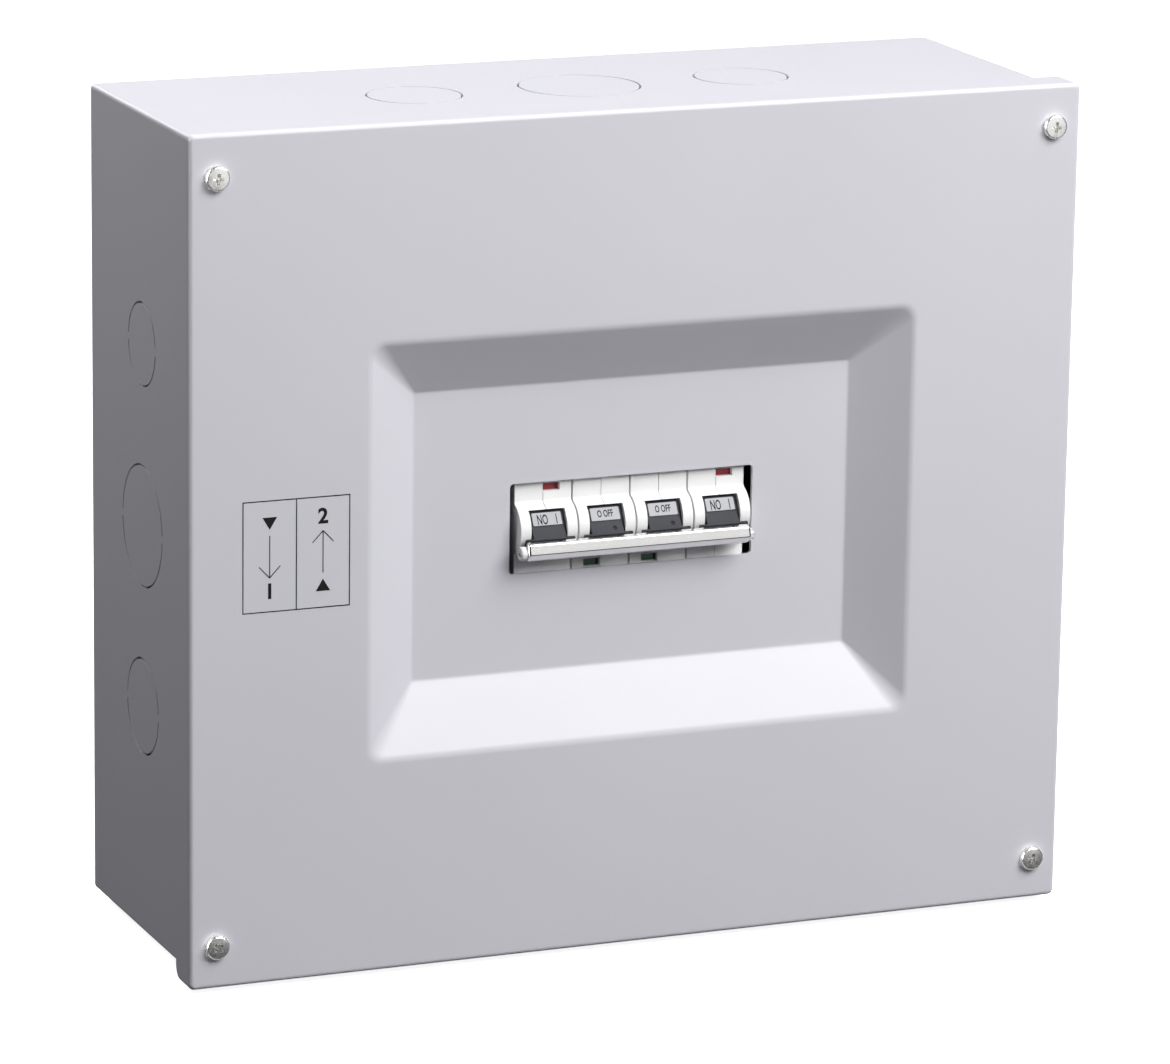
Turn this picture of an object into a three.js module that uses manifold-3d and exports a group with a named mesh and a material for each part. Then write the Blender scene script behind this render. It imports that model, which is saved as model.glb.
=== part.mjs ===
// Manual transfer switch: a sheet-steel wall box whose screwed cover shows four ganged breaker poles.
// Millimetres, +Z up. The cover faces -Y and the origin is the centre of the box's back face.
import * as THREE from "three";
import { mergeVertices } from "three/addons/utils/BufferGeometryUtils.js";
import Module from "manifold-3d";

const wasm = await Module();
wasm.setup();

// ---- driving dimensions ----
const COVER_WIDTH = 276;
const COVER_HEIGHT = 249;
const DEPTH = 99; // wall to the cover's front plane
const SHEET = 1.2;
const GAP = 0.3; // clearance kept between neighbouring pieces
const SLIVER = 0.001; // how far a cutting tool overruns the face it leaves by
const COVER_FLANGE = 12;
const COVER_CORNER = 1.8;
const OVERHANG_X = 3.3; // how far the cover stands out past the box at each side
const OVERHANG_Z = 2;
const BOX_CORNER = 2;
const TAB = 15; // side of the screw tab in each corner of the box's mouth
const FLANGE_CORNER = 5; // rounding of the cover's side flanges at their lower rear corner

const RECESS_X = 1.4; // the recess and the breaker row sit this far right of the cover's centre line
const RECESS_WIDTH = 169.6;
const RECESS_HEIGHT = 122.4;
const RECESS_DEPTH = 10;
const RECESS_CORNER = 4;
const FLOOR_WIDTH = 136.6;
const FLOOR_HEIGHT = 85.4;
const FLOOR_Z = 1.3; // the floor sits a little high in the recess, so its lower slope is the widest
const CUTOUT_WIDTH = 76.5;
const CUTOUT_HEIGHT = 27;

const SCREW_INSET_X = 8.3;
const SCREW_INSET_Z = 12.5;
const SCREW_HEAD_R = 3.8;
const SCREW_HEAD_H = 2.2;
const SCREW_R = 2;

const KNOCKOUT_SLOT = 0.5;
const KNOCKOUT_TAB = 2.2;
const KNOCKOUT_Y = 0.48; // share of the depth, from the wall, at which every knockout is centred
const SIDE_KNOCKOUTS = [[54.5, 25], [0.7, 36.5], [-53.5, 29]]; // height, diameter
const TOP_KNOCKOUTS = [[-51.6, 28.5], [0, 36.5], [51.6, 28.5]]; // place along the width, diameter
const HANG_HOLE_X = 105;
const HANG_HOLE_Z = 90;
const HANG_HOLE_R = 3.2;

const ROW_Z = 0.9; // height of the breaker row's centre line
const PITCH = 18.2;
const POLE_WIDTH = 17.9;
const POLE_HEIGHT = 80;
const NOSE_HEIGHT = 45;
const FACE_Y = -(DEPTH - RECESS_DEPTH - SHEET - 0.5); // flat front face of every pole
const PIVOT_BEHIND_FACE = 2;
const PIVOT_Y = FACE_Y + PIVOT_BEHIND_FACE;
const SHOULDER = 14; // nose face back to the terminal shoulders
const RAIL_SEAT = 58; // nose face back to the rail seat
const POLE_DEPTH = 62;
const WALL = 1.3;
const ARCH_R = 7.6;
const WINDOW_HALF_WIDTH = 5.6;
const WINDOW_HALF_HEIGHT = 6.1;

const HANDLE_DOWN = 28; // degrees below level; the up position mirrors it
const DRUM_R = 6.3;
const LIP_R = 8; // where the lever's wide lip starts, clear of the arch
const TIE = [-10.2, -1.2]; // (y, z) of the tie rod in the levers' frame
const BAR_HALF_LENGTH = 35;
const BAR_SHEET = 0.6;

const FLAG_TRAVEL = 3.2;
const CONTACT_SWING = 12;

const RAIL_WIDTH = 35;
const RAIL_DEPTH = 7.5;
const RAIL_LENGTH = 150;
const BRACKET_X = 62;

// ---- finishes ----
const finish = (color, roughness, metalness) =>
  new THREE.MeshStandardMaterial({ color, roughness, metalness });
const POWDER_COAT = finish(0xc6c7cf, 0.45, 0.1);
const GALVANISED = finish(0xb4b8bb, 0.45, 0.9);
const NICKEL = finish(0xd8d8d6, 0.22, 1);
const POLISHED = finish(0xe6e7e8, 0.12, 1);
const COPPER = finish(0xb87348, 0.35, 1);
const BRASS = finish(0xc9a452, 0.35, 1);
const CASE_PLASTIC = finish(0xf2f2f0, 0.5, 0);
const TOGGLE_PLASTIC = finish(0x3b3c42, 0.45, 0);
const FLAG_PLASTIC = finish(0xa8323c, 0.5, 0);
const INSULATOR_PLASTIC = finish(0x8a1f1f, 0.5, 0);
const CLIP_PLASTIC = finish(0x2c2d30, 0.5, 0);

// ---- shape helpers ----
function solid(geometry) {
  const bare = geometry.index ? geometry.toNonIndexed() : geometry.clone();
  bare.deleteAttribute("normal");
  bare.deleteAttribute("uv");
  const merged = mergeVertices(bare, 1e-4);
  return new wasm.Manifold(
    new wasm.Mesh({
      numProp: 3,
      vertProperties: merged.attributes.position.array,
      triVerts: new Uint32Array(merged.index.array),
    }),
  );
}

function block(x0, x1, y0, y1, z0, z1) {
  const g = new THREE.BoxGeometry(x1 - x0, y1 - y0, z1 - z0);
  return solid(g.translate((x0 + x1) / 2, (y0 + y1) / 2, (z0 + z1) / 2));
}

// An outline carried along one axis: given in (y, z) for x, in (x, z) for y and in (x, y) for z.
function prism(axis, outline, from, to) {
  const shape = outline instanceof THREE.Shape ? outline : polygon(outline);
  const g = new THREE.ExtrudeGeometry(shape, { depth: to - from, bevelEnabled: false });
  if (axis === "x") {
    g.translate(0, 0, from);
    g.applyMatrix4(new THREE.Matrix4().set(0, 0, 1, 0, 1, 0, 0, 0, 0, 1, 0, 0, 0, 0, 0, 1));
  } else if (axis === "y") {
    g.translate(0, 0, -to);
    g.rotateX(Math.PI / 2);
  } else {
    g.translate(0, 0, from);
  }
  return solid(g);
}

const polygon = (points) => new THREE.Shape(points.map(([a, b]) => new THREE.Vector2(a, b)));

function rod(axis, radius, from, to, a, b, sides = 16) {
  const points = [];
  for (let i = 0; i < sides; i++) {
    const t = (2 * Math.PI * (i + 0.5)) / sides;
    points.push([a + radius * Math.cos(t), b + radius * Math.sin(t)]);
  }
  return prism(axis, points, from, to);
}

function roundedOutline(width, height, radius, steps = 3) {
  const points = [];
  const corners = [[1, 1, 0], [-1, 1, 1], [-1, -1, 2], [1, -1, 3]];
  for (const [sx, sz, quarter] of corners) {
    for (let i = 0; i <= steps; i++) {
      const t = ((quarter + i / steps) * Math.PI) / 2;
      points.push([
        sx * (width / 2 - radius) + radius * Math.cos(t),
        sz * (height / 2 - radius) + radius * Math.sin(t),
      ]);
    }
  }
  return points;
}

// A closed skin between two outlines in the (x, z) plane that have the same number of points.
function taper(front, frontY, back, backY) {
  const n = front.length;
  const positions = [];
  const put = (outline, i, y) => positions.push(outline[i % n][0], y, outline[i % n][1]);
  for (let i = 0; i < n; i++) {
    put(front, i, frontY);
    put(front, i + 1, frontY);
    put(back, i + 1, backY);
    put(front, i, frontY);
    put(back, i + 1, backY);
    put(back, i, backY);
  }
  for (let i = 1; i < n - 1; i++) {
    put(front, 0, frontY);
    put(front, i + 1, frontY);
    put(front, i, frontY);
    put(back, 0, backY);
    put(back, i, backY);
    put(back, i + 1, backY);
  }
  for (let i = 0; i < positions.length; i += 9) {
    for (let k = 0; k < 3; k++) {
      const swap = positions[i + 3 + k];
      positions[i + 3 + k] = positions[i + 6 + k];
      positions[i + 6 + k] = swap;
    }
  }
  const g = new THREE.BufferGeometry();
  g.setAttribute("position", new THREE.Float32BufferAttribute(positions, 3));
  return solid(g);
}

// x limits of a strip on the left (-1) or right (+1) of a centre plane.
const strip = (side, a, b) => (side < 0 ? [-b, -a] : [a, b]);

const join = (...pieces) => pieces.reduce((a, b) => a.add(b));
const cut = (piece, ...tools) => tools.reduce((a, b) => a.subtract(b), piece);

const group = new THREE.Group();

function place(name, piece, material, parent = group) {
  const made = piece.getMesh();
  const g = new THREE.BufferGeometry();
  g.setAttribute("position", new THREE.BufferAttribute(made.vertProperties, 3));
  g.setIndex(new THREE.BufferAttribute(made.triVerts, 1));
  g.computeVertexNormals();
  const mesh = new THREE.Mesh(g, material);
  mesh.name = name;
  parent.add(mesh);
  return mesh;
}

// ---- the box ----
const BOX_WIDTH = COVER_WIDTH - 2 * OVERHANG_X;
const BOX_HEIGHT = COVER_HEIGHT - 2 * OVERHANG_Z;
const BOX_FRONT = -(DEPTH - SHEET - GAP);
const SCREW_X = COVER_WIDTH / 2 - SCREW_INSET_X;
const SCREW_Z = COVER_HEIGHT / 2 - SCREW_INSET_Z;
const CORNERS = [[-1, 1], [1, 1], [1, -1], [-1, -1]];

// The two slots that almost free a knockout, cut through a wall that is square to the given axis.
function knockoutSlots(axis, from, to, a, b, diameter) {
  const inner = diameter / 2 - KNOCKOUT_SLOT;
  const outer = diameter / 2;
  const tab = KNOCKOUT_TAB / diameter;
  const steps = 14;
  return [0, Math.PI].map((start) => {
    const points = [];
    for (const [radius, way] of [[outer, 1], [inner, -1]]) {
      for (let i = 0; i <= steps; i++) {
        const share = way > 0 ? i / steps : 1 - i / steps;
        const t = start + tab + share * (Math.PI - 2 * tab);
        points.push([a + radius * Math.cos(t), b + radius * Math.sin(t)]);
      }
    }
    return prism(axis, points, from, to);
  });
}

function enclosureBox() {
  const shell = prism("y", roundedOutline(BOX_WIDTH, BOX_HEIGHT, BOX_CORNER), BOX_FRONT, 0);
  const inside = roundedOutline(BOX_WIDTH - 2 * SHEET, BOX_HEIGHT - 2 * SHEET, BOX_CORNER - SHEET);
  let box = cut(shell, prism("y", inside, BOX_FRONT - 1, -SHEET));
  const y = -KNOCKOUT_Y * DEPTH;
  for (const [z, diameter] of SIDE_KNOCKOUTS) {
    for (const side of [-1, 1]) {
      const wall = (side * BOX_WIDTH) / 2;
      box = cut(box, ...knockoutSlots("x", wall - 3, wall + 3, y, z, diameter));
    }
  }
  for (const [x, diameter] of TOP_KNOCKOUTS) {
    for (const side of [-1, 1]) {
      const wall = (side * BOX_HEIGHT) / 2;
      box = cut(box, ...turnedSlots(x, y, diameter, wall));
    }
  }
  for (const [sx, sz] of CORNERS) {
    const cornerX = sx * (BOX_WIDTH / 2 - SHEET / 2 - TAB / 2);
    const cornerZ = sz * (BOX_HEIGHT / 2 - SHEET / 2 - TAB / 2);
    const tab = block(
      cornerX - TAB / 2, cornerX + TAB / 2,
      BOX_FRONT, BOX_FRONT + SHEET,
      cornerZ - TAB / 2, cornerZ + TAB / 2,
    );
    box = cut(
      join(box, tab),
      rod("y", HANG_HOLE_R, -3, 1, sx * HANG_HOLE_X, sz * HANG_HOLE_Z),
      rod("y", SCREW_R + GAP, BOX_FRONT - 1, BOX_FRONT + 2, sx * SCREW_X, sz * SCREW_Z, 12),
    );
  }
  return box;
}

// Knockouts in the top and bottom keep their tabs at the front and back, so their slots turn by 90 degrees.
function turnedSlots(x, y, diameter, wall) {
  const g = knockoutSlots("z", wall - 3, wall + 3, 0, 0, diameter);
  return g.map((slot) => slot.rotate([0, 0, 90]).translate([x, y, 0]));
}

place("enclosure_box", enclosureBox(), POWDER_COAT);

// ---- the cover ----
function frontCover() {
  const face = -DEPTH;
  const outline = roundedOutline(COVER_WIDTH, COVER_HEIGHT, COVER_CORNER);
  const inside = roundedOutline(COVER_WIDTH - 2 * SHEET, COVER_HEIGHT - 2 * SHEET, COVER_CORNER - SHEET);
  const moved = (points, z) => points.map(([a, b]) => [a + RECESS_X, b + z]);
  const rim = moved(roundedOutline(RECESS_WIDTH, RECESS_HEIGHT, RECESS_CORNER), 0);
  const floor = moved(roundedOutline(FLOOR_WIDTH, FLOOR_HEIGHT, 0.8), FLOOR_Z);
  const backRim = moved(roundedOutline(RECESS_WIDTH + 2, RECESS_HEIGHT + 2, RECESS_CORNER + 1), 0);
  const backFloor = moved(roundedOutline(FLOOR_WIDTH + 2, FLOOR_HEIGHT + 2, 1.8), FLOOR_Z);
  const pan = cut(
    prism("y", outline, face, face + COVER_FLANGE),
    prism("y", inside, face + SHEET, face + COVER_FLANGE + 1),
  );
  const bump = taper(backRim, face + SHEET / 2, backFloor, face + RECESS_DEPTH + SHEET);
  const hollow = taper(rim, face, floor, face + RECESS_DEPTH);
  const mouth = prism("y", rim, face - 1, face + SLIVER);
  const opening = block(
    RECESS_X - CUTOUT_WIDTH / 2, RECESS_X + CUTOUT_WIDTH / 2,
    face, face + RECESS_DEPTH + 3,
    FLOOR_Z - CUTOUT_HEIGHT / 2, FLOOR_Z + CUTOUT_HEIGHT / 2,
  );
  let cover = cut(join(pan, bump), hollow, mouth, opening);
  const rear = face + COVER_FLANGE;
  const foot = -COVER_HEIGHT / 2;
  const r = FLANGE_CORNER;
  for (const side of [-1, 1]) {
    const [x0, x1] = strip(side, COVER_WIDTH / 2 - r, COVER_WIDTH / 2 + 1);
    const corner = block(x0, x1, rear - r, rear + 1, foot - 1, foot + r);
    cover = cut(cover, cut(corner, rod("x", r, x0 - 1, x1 + 1, rear - r, foot + r, 24)));
  }
  for (const [sx, sz] of CORNERS) {
    cover = cut(cover, rod("y", SCREW_R + GAP, face - 1, face + 3, sx * SCREW_X, sz * SCREW_Z, 12));
  }
  return cover;
}

place("front_cover", frontCover(), POWDER_COAT);

// A pan-head screw along Y with a cross recess: its head's underside is at the given y.
function panScrew(headRadius, headHeight, shankRadius, length, underside, sides = 20) {
  const profile = [
    [0, -length],
    [shankRadius, -length],
    [shankRadius, 0],
    [headRadius, 0],
    [headRadius, headHeight * 0.45],
    [headRadius * 0.86, headHeight * 0.8],
    [headRadius * 0.5, headHeight],
    [0, headHeight],
  ];
  const lathe = new THREE.LatheGeometry(profile.map(([r, h]) => new THREE.Vector2(r, h)), sides);
  const body = solid(lathe.rotateX(Math.PI).translate(0, underside, 0));
  const arm = headRadius * 0.55;
  const slot = headRadius * 0.12;
  const top = underside - headHeight;
  return cut(
    body,
    block(-arm, arm, top - 1, top + headHeight * 0.55, -slot, slot),
    block(-slot, slot, top - 1, top + headHeight * 0.55, -arm, arm),
  );
}

CORNERS.forEach(([sx, sz], i) => {
  const name = "cover_screw_" + (i + 1);
  const screw = place(name, panScrew(SCREW_HEAD_R, SCREW_HEAD_H, SCREW_R, 9, 0), NICKEL);
  screw.position.set(sx * SCREW_X, -DEPTH - GAP, sz * SCREW_Z);
  if (sx < 0 && sz < 0) screw.rotation.y = Math.PI / 4;
});

// ---- rail, brackets and bars ----
const RAIL_FRONT = FACE_Y + RAIL_SEAT + GAP;
const RAIL_BACK = RAIL_FRONT + RAIL_DEPTH;

function dinRail() {
  const half = RAIL_WIDTH / 2;
  const crown = 13.5;
  const t = 1;
  const outline = [
    [RAIL_FRONT, half],
    [RAIL_FRONT, crown - t],
    [RAIL_BACK - t, crown - t],
    [RAIL_BACK - t, -crown + t],
    [RAIL_FRONT, -crown + t],
    [RAIL_FRONT, -half],
    [RAIL_FRONT + t, -half],
    [RAIL_FRONT + t, -crown],
    [RAIL_BACK, -crown],
    [RAIL_BACK, crown],
    [RAIL_FRONT + t, crown],
    [RAIL_FRONT + t, half],
  ];
  const bar = prism("x", outline, -RAIL_LENGTH / 2, RAIL_LENGTH / 2).translate([0, 0, ROW_Z]);
  const hole = (x) => rod("y", SCREW_R + GAP, RAIL_BACK - 3, RAIL_BACK + 1, x, ROW_Z, 12);
  return cut(bar, hole(-BRACKET_X), hole(BRACKET_X));
}

function railBracket(x) {
  const t = 1.5;
  const front = RAIL_BACK + GAP;
  const foot = -SHEET - GAP;
  const half = 22;
  const outline = [
    [front, half],
    [front, -half],
    [foot - t, -half],
    [foot - t, -half - 11],
    [foot, -half - 11],
    [foot, -half + t],
    [front + t, -half + t],
    [front + t, half - t],
    [foot, half - t],
    [foot, half + 11],
    [foot - t, half + 11],
    [foot - t, half],
  ];
  const strap = prism("x", outline, x - 8, x + 8).translate([0, 0, ROW_Z]);
  return cut(strap, rod("y", SCREW_R + GAP, front - 1, front + 3, x, ROW_Z, 12));
}

place("din_rail", dinRail(), GALVANISED);
for (const [side, word] of [[-1, "left"], [1, "right"]]) {
  place("rail_bracket_" + word, railBracket(side * BRACKET_X), GALVANISED);
  const screw = panScrew(3.8, 2, SCREW_R, 5, 0, 12);
  const mesh = place("rail_screw_" + word, screw, NICKEL);
  mesh.position.set(side * BRACKET_X, RAIL_BACK - 1 - GAP, ROW_Z);
}

const BUSBAR_LENGTH = 80;
const BUSBAR_X = 62;
const BUSBAR_Z = -88;
const BUSBAR_FRONT = -22;
const BUSBAR_SIZE = 9;

// A terminal bar with a row of wire holes from above, each under its own clamp screw.
function terminalBar(x, feet) {
  const half = BUSBAR_LENGTH / 2;
  const back = BUSBAR_FRONT + BUSBAR_SIZE;
  const z0 = BUSBAR_Z - BUSBAR_SIZE / 2;
  const z1 = BUSBAR_Z + BUSBAR_SIZE / 2;
  let bar = block(x - half, x + half, BUSBAR_FRONT, back, z0, z1);
  for (let i = 0; i < 6; i++) {
    const at = x + (i - 2.5) * 10.5;
    bar = cut(bar, rod("z", 1.9, z0 - 1, z1 + 1, at, BUSBAR_FRONT + 5.2, 10));
    bar = join(bar, rod("y", 2.6, BUSBAR_FRONT - 2, BUSBAR_FRONT + 1, at, BUSBAR_Z, 10));
  }
  if (feet) {
    for (const end of [-1, 1]) {
      const at = x + end * (half - 5);
      bar = join(bar, block(at - 5, at + 5, back - 1, -SHEET - GAP, z0, z1));
    }
  }
  return bar;
}

place("neutral_bar", terminalBar(-BUSBAR_X, false), BRASS);
place("ground_bar", terminalBar(BUSBAR_X, true), BRASS);
for (const [end, word] of [[-1, "left"], [1, "right"]]) {
  const at = -BUSBAR_X + end * (BUSBAR_LENGTH / 2 - 6);
  const back = BUSBAR_FRONT + BUSBAR_SIZE + GAP;
  const post = prism("z", [
    [at - 6, -SHEET - GAP],
    [at - 4.5, back],
    [at + 4.5, back],
    [at + 6, -SHEET - GAP],
  ].reverse(), BUSBAR_Z - 5, BUSBAR_Z + 5);
  place("neutral_insulator_" + word, post, INSULATOR_PLASTIC);
}

// ---- one breaker pole, in a frame with its origin on the toggle's pivot ----
const FACE = -PIVOT_BEHIND_FACE; // local y of the flat face
const HALF_POLE = POLE_WIDTH / 2;
const SEAM = GAP / 2;

function poleOutline() {
  const nose = NOSE_HEIGHT / 2;
  const top = POLE_HEIGHT / 2;
  const seat = FACE + RAIL_SEAT;
  const back = FACE + POLE_DEPTH;
  const rail = RAIL_WIDTH / 2 + 0.4;
  return [
    [FACE, nose],
    [FACE, -nose],
    [FACE + SHOULDER, -nose],
    [FACE + SHOULDER, -top],
    [seat + 1.3, -top],
    [seat + 1.3, -rail],
    [seat, -rail],
    [seat, rail],
    [seat + 1.6, rail],
    [seat + 1.6, rail - 2.4],
    [back, rail - 1.6],
    [back, top],
    [FACE + SHOULDER, top],
    [FACE + SHOULDER, nose],
  ];
}

function cavityOutline() {
  const nose = NOSE_HEIGHT / 2 - WALL;
  const top = POLE_HEIGHT / 2 - WALL;
  const front = FACE + SHOULDER + WALL;
  const back = FACE + RAIL_SEAT - WALL;
  return [
    [FACE + 1.6, nose],
    [FACE + 1.6, -nose],
    [front, -nose],
    [front, -top],
    [back, -top],
    [back, top],
    [front, top],
    [front, nose],
  ];
}

// The nose that bulges through the cover: a round arch about the pivot, eased into the flat face.
function archOutline() {
  const points = [];
  const reach = Math.acos(PIVOT_BEHIND_FACE / ARCH_R);
  const steps = 14;
  points.push([FACE + 1, -ARCH_R - 0.6], [FACE, -ARCH_R - 0.6]);
  for (let i = 0; i <= steps; i++) {
    const t = -reach + (2 * reach * i) / steps;
    points.push([-ARCH_R * Math.cos(t), ARCH_R * Math.sin(t)]);
  }
  points.push([FACE, ARCH_R + 0.6], [FACE + 1, ARCH_R + 0.6]);
  return points;
}

const ARM_PIVOT = [20, -4]; // local (y, z) of the contact arm's pivot
const ARM_HOLE = 1.3;
const TERMINAL_Z = 31;
const TERMINAL_Y = FACE + 34;

function caseHalf(side) {
  const body = prism("x", poleOutline(), ...strip(side, SEAM, HALF_POLE));
  const nose = prism("x", archOutline(), ...strip(side, SEAM, HALF_POLE - 0.2));
  const [clipA, clipB] = strip(side, -1, 5.6);
  const seat = FACE + RAIL_SEAT;
  const clipGuide = block(
    ...strip(side, 5.7, HALF_POLE),
    seat, FACE + POLE_DEPTH,
    -POLE_HEIGHT / 2, -RAIL_WIDTH / 2 - 0.4,
  );
  let half = cut(
    join(body, nose, clipGuide),
    prism("x", cavityOutline(), ...strip(side, 0, HALF_POLE - WALL)),
    block(...strip(side, -1, WINDOW_HALF_WIDTH), -12, 1, -WINDOW_HALF_HEIGHT, WINDOW_HALF_HEIGHT),
    rod("x", DRUM_R + 0.5, ...strip(side, -1, WINDOW_HALF_WIDTH + 0.1), 0, 0, 24),
    rod("x", 1.2, ...strip(side, -1, HALF_POLE - 0.3), 0, 0, 12),
    block(clipA, clipB, seat + 1.3, seat + 6, -POLE_HEIGHT / 2 - 1, -RAIL_WIDTH / 2 - 0.4),
  );
  for (const end of [-1, 1]) {
    const z = (end * POLE_HEIGHT) / 2;
    half = cut(
      half,
      block(...strip(side, -1, 4.2), TERMINAL_Y - 4, TERMINAL_Y + 4, z - 3.5, z + 3.5),
      rod("y", 2.8, FACE + SHOULDER - 1, FACE + SHOULDER + 3, 0, end * TERMINAL_Z, 12),
    );
  }
  if (side < 0) {
    half = cut(half, block(-5.2, 0, FACE - 1, FACE + 3, -13, -10.7));
    half = join(half, rod("x", 1, -HALF_POLE + 1, 2.4, ...ARM_PIVOT, 10));
  }
  return half;
}

// Toggle: a drum in the window and a lever along -Y whose wide tip takes the tie bar.
// The tip reaches down to the tie rod, so that of a pole on its head is built the other way up.
function toggle(turned) {
  const up = turned ? -1 : 1;
  const lever = [
    [-5, 3.7],
    [-5, -3.7],
    [-LIP_R, -2.2],
    [-LIP_R, 2.2],
  ];
  const lip = [
    [-LIP_R, 2.2],
    [-LIP_R, -2.2],
    [-LIP_R - 0.8, -2.2],
    [-LIP_R - 0.8, 2.2],
  ];
  const tip = [
    [-LIP_R - 0.4, up * 1.3],
    [-LIP_R - 0.4, up * -2.5],
    [-10.9, up * -2.5],
    [-11.4, up * -1.9],
    [-11.4, up * -0.5],
    [-10.4, up * 1.3],
  ];
  const body = join(
    rod("x", DRUM_R, -5.2, 5.2, 0, 0, 32),
    prism("x", lever, -5, 5),
    prism("x", lip, -7.6, 7.6),
    prism("x", tip, -6.7, 6.7),
  );
  return cut(
    body,
    rod("x", 1.3, -9, 9, 0, 0, 12),
    rod("x", 1, -9, 9, TIE[0], up * TIE[1], 12),
    block(-9, 9, 0.6, 9, -9, -3.2),
    block(-9, 9, 0.6, 9, 3.2, 9),
  );
}

// Indicator flag: a two-colour tongue behind the small window, green half over red half.
const indicatorFlag = () => block(-5.7, -0.5, FACE + 1.9, FACE + 2.9, -16.5, -10.2);

// Contact arm: a copper lever with a silver-tipped end that meets the fixed contact.
function contactArm() {
  const [y, z] = ARM_PIVOT;
  const arm = prism("x", [
    [y - 2.2, z - 2.6],
    [y + 2.2, z - 2.6],
    [y + 2.2, z + 2.6],
    [y + 1.2, z + 21],
    [y - 1.2, z + 21],
    [y - 2.2, z + 2.6],
  ], -1.6, 1.6);
  const tip = block(-1.6, 1.6, y - 2.6, y, z + 17, z + 20.5);
  return cut(join(arm, tip), rod("x", ARM_HOLE, -3, 3, y, z, 10));
}

// Line terminal with its clamp plate, and the strap down to the fixed contact.
function lineTerminal() {
  const [y, z] = ARM_PIVOT;
  const contact = y - 2.6 - GAP;
  return join(
    block(-4.6, 4.6, TERMINAL_Y + 4.3, TERMINAL_Y + 6.3, 24, 36),
    block(-4.6, 4.6, TERMINAL_Y - 6, TERMINAL_Y + 6.3, 23, 25),
    block(-2.4, 2.4, contact - 1.4, TERMINAL_Y - 5, 23, 25),
    block(-2.4, 2.4, contact - 1.4, contact, z + 16, 25),
  );
}

// Load terminal with its clamp plate, and the strap up to beside the contact arm's foot.
function loadTerminal() {
  const foot = ARM_PIVOT[1] - 4;
  return join(
    block(-4.6, 4.6, TERMINAL_Y + 4.3, TERMINAL_Y + 6.3, -36, -24),
    block(-4.6, 4.6, TERMINAL_Y - 6, TERMINAL_Y + 6.3, -25, -23),
    block(-2.4, 2.4, ARM_PIVOT[0] - 2, TERMINAL_Y - 5, -25, -23),
    block(-2.4, 2.4, ARM_PIVOT[0] - 2, ARM_PIVOT[0] - 0.6, -25, foot),
  );
}

// Spring clip that hooks behind the rail's flange; its tail stands out for a screwdriver.
function dinClip() {
  const y = FACE + RAIL_SEAT + 1.3 + GAP;
  const rail = RAIL_WIDTH / 2;
  return join(
    block(-5.2, 5.2, y, y + 2, -POLE_HEIGHT / 2 - 3.5, -rail - 0.8),
    block(-5.2, 5.2, y, y + 2, -rail - 1, -rail + 2.2),
  );
}

const POLE_TURNED = [true, false, false, true]; // the outer poles stand on their heads

function breakerPole(number) {
  const turned = POLE_TURNED[number - 1];
  const pole = new THREE.Group();
  pole.position.set(RECESS_X + (number - 2.5) * PITCH, PIVOT_Y, ROW_Z);
  pole.rotation.y = turned ? Math.PI : 0;
  group.add(pole);
  const named = (piece) => "pole_" + number + "_" + piece;
  place(named("case_left"), caseHalf(-1), CASE_PLASTIC, pole);
  place(named("case_right"), caseHalf(1), CASE_PLASTIC, pole);
  place(named("pivot_pin"), rod("x", 1, -8.3, 8.3, 0, 0, 12), NICKEL, pole);
  const lever = place(named("toggle"), toggle(turned), TOGGLE_PLASTIC, pole);
  lever.rotation.x = THREE.MathUtils.degToRad(turned ? -HANDLE_DOWN : HANDLE_DOWN);
  const flag = place(named("flag"), indicatorFlag(), FLAG_PLASTIC, pole);
  flag.position.z = turned ? FLAG_TRAVEL : 0;
  const arm = new THREE.Group();
  arm.position.set(0, ...ARM_PIVOT);
  arm.rotation.x = turned ? 0 : -THREE.MathUtils.degToRad(CONTACT_SWING);
  pole.add(arm);
  const armMesh = place(named("contact_arm"), contactArm(), COPPER, arm);
  armMesh.position.set(0, -ARM_PIVOT[0], -ARM_PIVOT[1]);
  place(named("line_terminal"), lineTerminal(), COPPER, pole);
  place(named("load_terminal"), loadTerminal(), COPPER, pole);
  place(named("rail_clip"), dinClip(), CLIP_PLASTIC, pole);
}

for (let number = 1; number <= 4; number++) breakerPole(number);

// ---- jumpers that tie each line pole's output to its generator pole's output ----
function loadJumper(side) {
  const z = ROW_Z - POLE_HEIGHT / 2;
  const y = PIVOT_Y + TERMINAL_Y;
  const inner = RECESS_X + side * PITCH * 0.5;
  const outer = RECESS_X + side * PITCH * 1.5;
  const [left, right] = side < 0 ? [outer, inner] : [inner, outer];
  let strap = block(left - 2.5, right + 2.5, y - 1, y + 1, z - 9, z - 4);
  for (const x of [left, right]) {
    strap = join(strap, block(x - 2.5, x + 2.5, y - 1, y + 1, z - 6, z + 2.8));
  }
  return strap;
}

place("load_jumper_left", loadJumper(-1), COPPER);
place("load_jumper_right", loadJumper(1), COPPER);

// ---- the handle that gangs the four levers ----
const handle = new THREE.Group();
handle.position.set(RECESS_X, PIVOT_Y, ROW_Z);
handle.rotation.x = THREE.MathUtils.degToRad(HANDLE_DOWN);
group.add(handle);

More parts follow.
